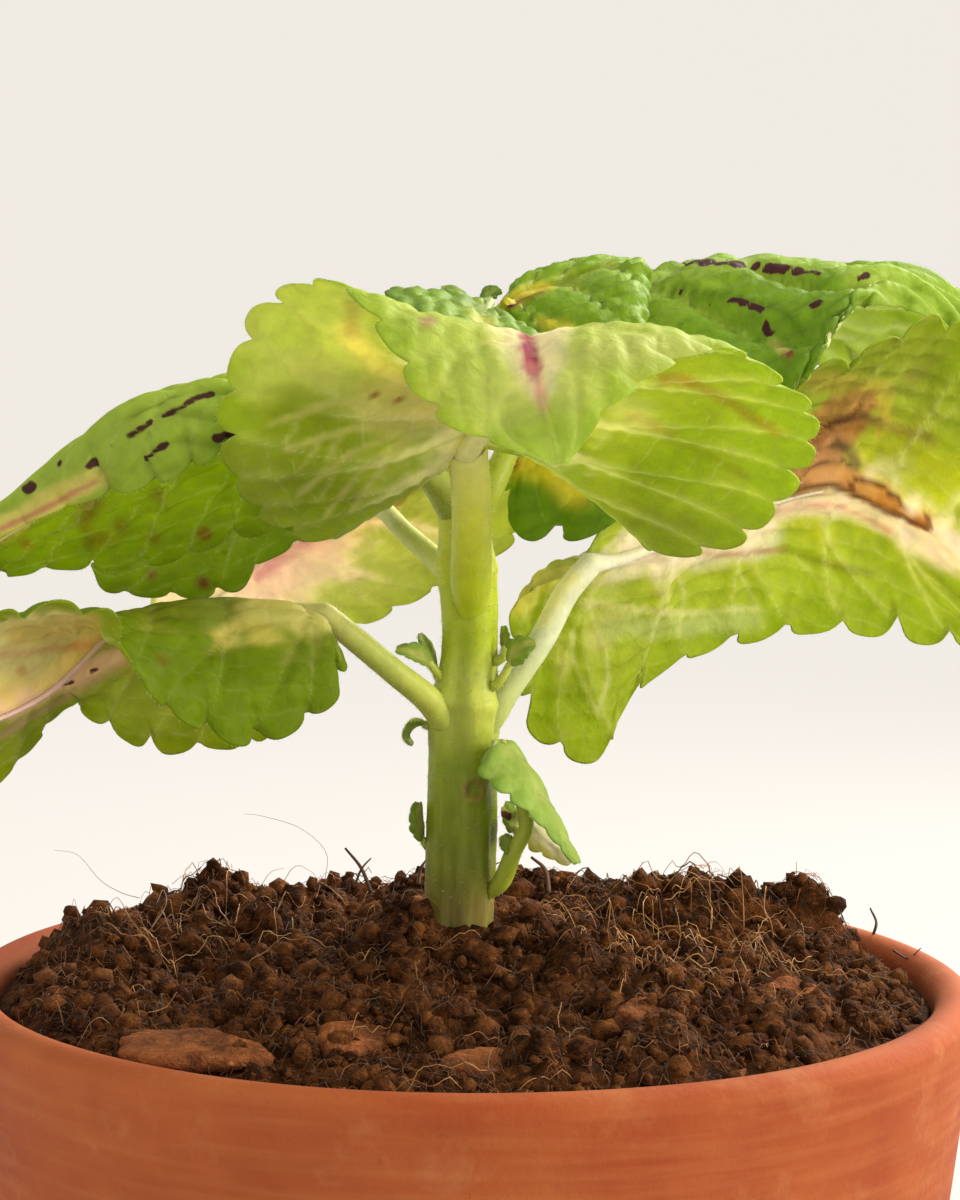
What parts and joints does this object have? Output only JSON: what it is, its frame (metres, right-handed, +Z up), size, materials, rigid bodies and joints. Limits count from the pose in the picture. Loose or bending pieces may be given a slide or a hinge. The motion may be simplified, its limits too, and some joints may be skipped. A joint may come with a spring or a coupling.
{
  "type": "potted coleus plant",
  "caption": "Young coleus with crenate variegated leaves on a square stem, growing in a tapered terracotta pot filled with soil.",
  "frame": {"origin": "middle of the pot's base, on the surface it stands on", "axes": "+Z up along the pot's axis; -Y towards the front, where the largest leaf bows over; +X to the right seen from the front"},
  "size_m": [0.1431, 0.1331, 0.1909],
  "materials": {
    "terracotta": "matt fired clay",
    "soil": "crumbly peat and coir",
    "bark": "weathered bark",
    "stem": "hairy green stem",
    "leaf": "soft, softly quilted leaf",
    "young_leaf": "soft young leaf"
  },
  "bodies": {
    "root": {"pot": "terracotta", "soil": "soil", "bark_chip": "bark", "stem": "stem", "leaf_1_left": "leaf", "leaf_1_right": "leaf", "leaf_2_front": "leaf", "leaf_2_back": "leaf", "leaf_3_left": "leaf", "leaf_3_right": "leaf", "leaf_3_axil": "young_leaf", "leaf_4_front": "young_leaf", "leaf_4_back": "young_leaf", "tip_bud_front": "young_leaf", "tip_bud_back": "young_leaf", "axil_left_front": "young_leaf", "axil_left_back": "young_leaf", "axil_right_front": "young_leaf", "axil_right_back": "young_leaf", "hook_leaf": "young_leaf", "low_leaf": "young_leaf", "side_shoot": "young_leaf"}
  },
  "joints": []
}
